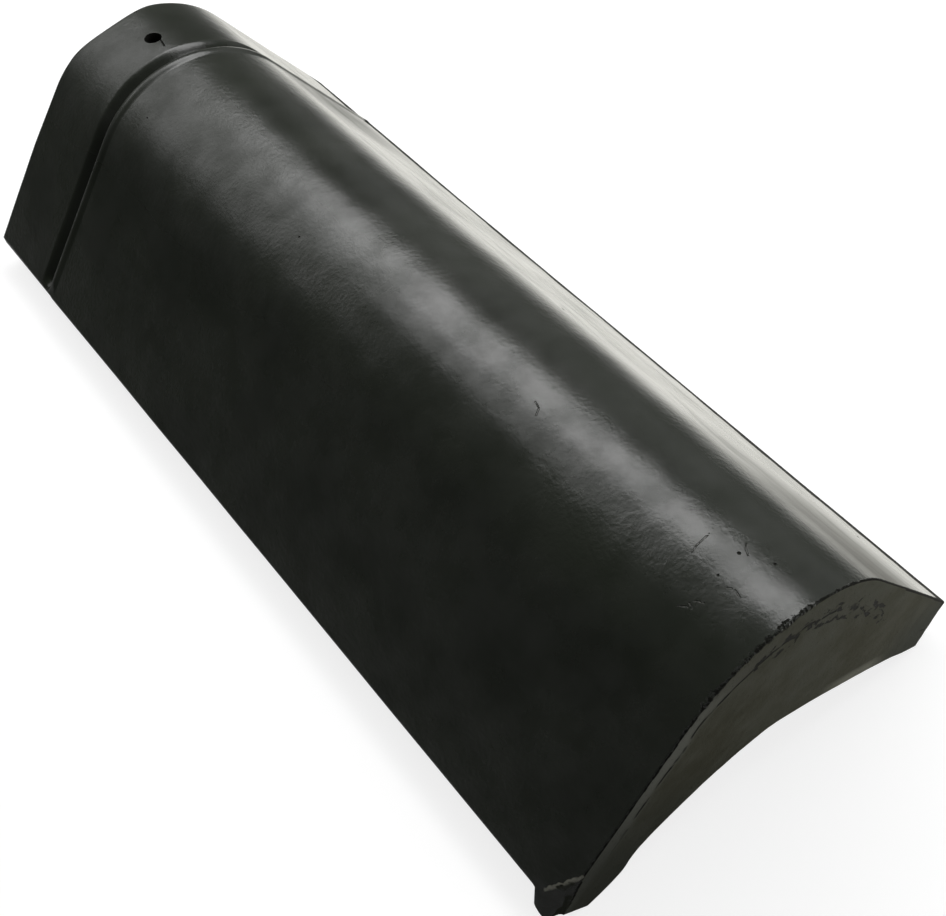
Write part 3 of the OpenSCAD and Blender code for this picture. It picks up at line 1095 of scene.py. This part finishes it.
def floor_material(studio):
    """Pale floor that keeps its shadow: nearly white to the camera, and mirrored at the tile's right."""
    material, bench, shader = new_material("pale_floor")
    bench.fill(shader, {
        "Base Color": (*studio.floor_tone, 1.0), "Roughness": FLOOR_ROUGHNESS, "Specular IOR Level": 0.0})
    rays = bench.put("ShaderNodeLightPath").outputs
    x, _, _ = bench.axes(bench.put("ShaderNodeTexCoord").outputs["Object"])
    gleam_end = tile_high.x * GLEAM_END_SHARE, tile_high.x * GLEAM_FADE_SHARE
    at_right = bench.fade(x, (0.0, tile_high.x), gleam_end)
    white = bench.put("ShaderNodeEmission", {
        "Strength": Field(bench, rays["Is Camera Ray"]) * studio.floor_white})
    mirrored = Field(bench, rays["Is Glossy Ray"]) * at_right * studio.gleam_strength
    gleam = bench.put("ShaderNodeEmission", {
        "Color": (*studio.floor_gleam, 1.0), "Strength": mirrored})
    shown = shader.outputs[0]
    for part in (white, gleam):
        shown = bench.put("ShaderNodeAddShader", {0: shown, 1: part.outputs[0]}).outputs[0]
    output = next(node for node in material.node_tree.nodes if node.type == "OUTPUT_MATERIAL")
    bench.feed(output.inputs["Surface"], shown)
    return material


def make_floor(studio):
    """Lays the square floor under the tile."""
    half = studio.floor_side / 2
    mesh = bpy.data.meshes.new("floor")
    corners = [(-half, -half, 0.0), (half, -half, 0.0), (half, half, 0.0), (-half, half, 0.0)]
    mesh.from_pydata(corners, [], [(0, 1, 2, 3)])
    mesh.materials.append(floor_material(studio))
    floor = bpy.data.objects.new("floor", mesh)
    bpy.context.collection.objects.link(floor)


def add_lamp(name, at, turn, sizes, power):
    """Adds one rectangular soft lamp."""
    lamp = bpy.data.lights.new(name, "AREA")
    lamp.shape = "RECTANGLE"
    lamp.size, lamp.size_y = sizes
    lamp.energy = power
    holder = bpy.data.objects.new(name, lamp)
    holder.location = at
    holder.rotation_euler = turn
    holder.visible_camera = False
    bpy.context.collection.objects.link(holder)


def make_lamps(studio):
    """Hangs the soft panels level under the ceiling, and sets the lamp in front."""
    for name in ("key", "middle", "back"):
        at = getattr(studio, name + "_at")
        sizes = getattr(studio, name + "_size")
        power = getattr(studio, name + "_glow") * math.pi * sizes[0] * sizes[1]
        turn = getattr(studio, name + "_turn", 0.0)
        add_lamp(name + "_panel", (at[0], at[1], studio.ceiling), (0.0, 0.0, turn), sizes, power)
    right_power = studio.right_glow * math.pi * studio.right_size[0] * studio.right_size[1]
    add_lamp("right_panel", studio.right_at, (0.0, math.pi / 2, 0.0), studio.right_size, right_power)
    front_at = Vector(studio.front_at)
    aim = (-front_at).to_track_quat("-Z", "Y").to_euler()
    add_lamp("front_lamp", front_at, aim, (studio.front_size, studio.front_size), studio.front_power)


def make_world(studio):
    """Dim even light all round, which the camera sees as white."""
    world = bpy.data.worlds.new("studio")
    world.use_nodes = True
    bench = Bench(world.node_tree)
    background = world.node_tree.nodes["Background"]
    background.inputs["Color"].default_value = (1.0, 1.0, 1.0, 1.0)
    seen = Field(bench, bench.put("ShaderNodeLightPath").outputs["Is Camera Ray"])
    bench.feed(background.inputs["Strength"], bench.mix(seen, studio.world_glow, 1.0))
    bpy.context.scene.world = world


def make_camera(studio):
    """Sets the camera at the photograph's place and angle."""
    camera = bpy.data.cameras.new("camera")
    camera.sensor_width = 36.0
    camera.lens = studio.camera_lens
    holder = bpy.data.objects.new("camera", camera)
    looking = Matrix.Rotation(-studio.camera_azimuth, 4, "Z")
    tilting = Matrix.Rotation(math.pi / 2 - studio.camera_elevation, 4, "X")
    rolling = Matrix.Rotation(-studio.camera_roll, 4, "Z")
    holder.matrix_world = Matrix.Translation(studio.camera_at) @ looking @ tilting @ rolling
    bpy.context.collection.objects.link(holder)
    bpy.context.scene.camera = holder


class RIDGETILE_OT_make_stage(bpy.types.Operator):
    """Make the floor, the lamps, the world and the camera"""

    bl_idname = "ridge_tile.make_stage"
    bl_label = "Make Studio"

    def execute(self, context):
        studio = context.scene.ridge_tile.studio
        context.scene.view_settings.view_transform = "Standard"
        make_floor(studio)
        make_lamps(studio)
        make_world(studio)
        make_camera(studio)
        return {"FINISHED"}


class RIDGETILE_PT_panel(bpy.types.Panel):
    """Lists the steps and the settings of the tile"""

    bl_idname = "RIDGETILE_PT_panel"
    bl_label = "Ridge Tile"
    bl_space_type = "VIEW_3D"
    bl_region_type = "UI"
    bl_category = "Ridge Tile"

    def draw(self, context):
        for step in (RIDGETILE_OT_make_tile, RIDGETILE_OT_make_stage):
            self.layout.operator(step.bl_idname)
        settings = context.scene.ridge_tile
        for group in (settings.form, settings.wear, settings.finish, settings.studio):
            box = self.layout.box()
            for name in group.__annotations__:
                box.prop(group, name)


CLASSES = (
    TileForm, TileWear, TileFinish, Studio, RidgeTileSettings,
    RIDGETILE_OT_make_tile, RIDGETILE_OT_make_stage, RIDGETILE_PT_panel,
)


def register():
    for kind in CLASSES:
        bpy.utils.register_class(kind)
    bpy.types.Scene.ridge_tile = bpy.props.PointerProperty(type=RidgeTileSettings)


def unregister():
    del bpy.types.Scene.ridge_tile
    for kind in reversed(CLASSES):
        bpy.utils.unregister_class(kind)


def main():
    register()
    bpy.ops.ridge_tile.make_tile()
    bpy.ops.ridge_tile.make_stage()


if __name__ == "__main__":
    main()
